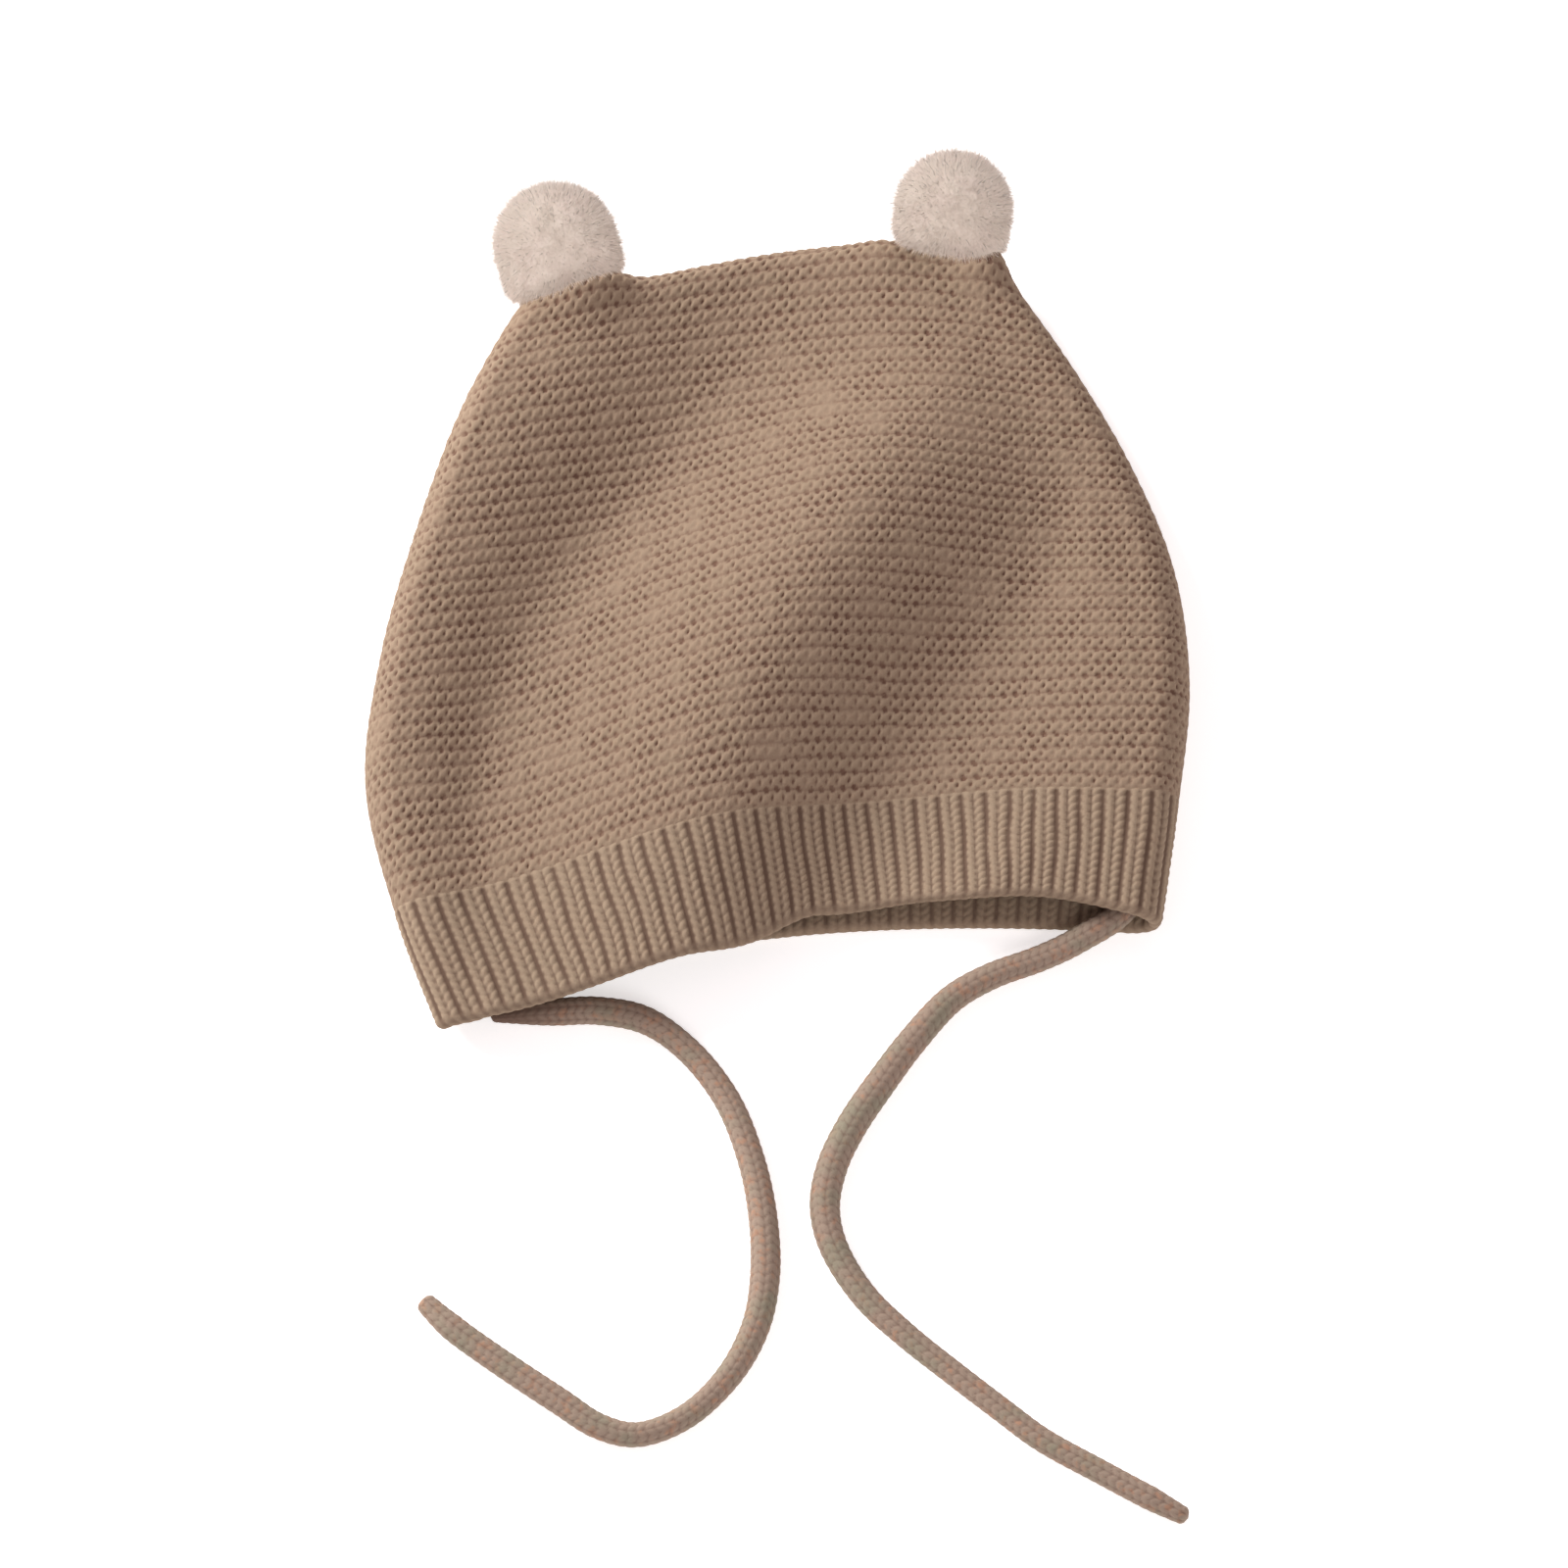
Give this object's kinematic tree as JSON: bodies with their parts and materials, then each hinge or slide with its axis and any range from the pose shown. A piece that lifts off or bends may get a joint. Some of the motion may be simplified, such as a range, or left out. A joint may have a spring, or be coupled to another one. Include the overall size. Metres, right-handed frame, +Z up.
{
  "type": "knitted bonnet",
  "caption": "Knitted baby bonnet lying flat, with a garter-stitch crown, a ribbed band, soft pompoms on the top corners and round knitted ties.",
  "frame": {"origin": "on the surface the bonnet lies on, under the middle of the box round the bonnet without its ties", "axes": "+Z up out of the surface; +Y from the mouth to the top fold; +X to the wearer's left when the top layer is the front"},
  "size_m": [0.2051, 0.3571, 0.0309],
  "materials": {
    "garter_knit": "fuzzy beige-brown garter stitch in soft yarn",
    "rib_knit": "beige-brown one by one rib in soft yarn",
    "pompom_yarn": "dense short cream plush",
    "tie_knit": "heathered beige-brown knitted cord"
  },
  "bodies": {
    "root": {"crown": "garter_knit", "ribbed_band": "rib_knit", "left_pompom": "pompom_yarn", "right_pompom": "pompom_yarn", "left_tie": "tie_knit", "right_tie": "tie_knit"}
  },
  "joints": []
}
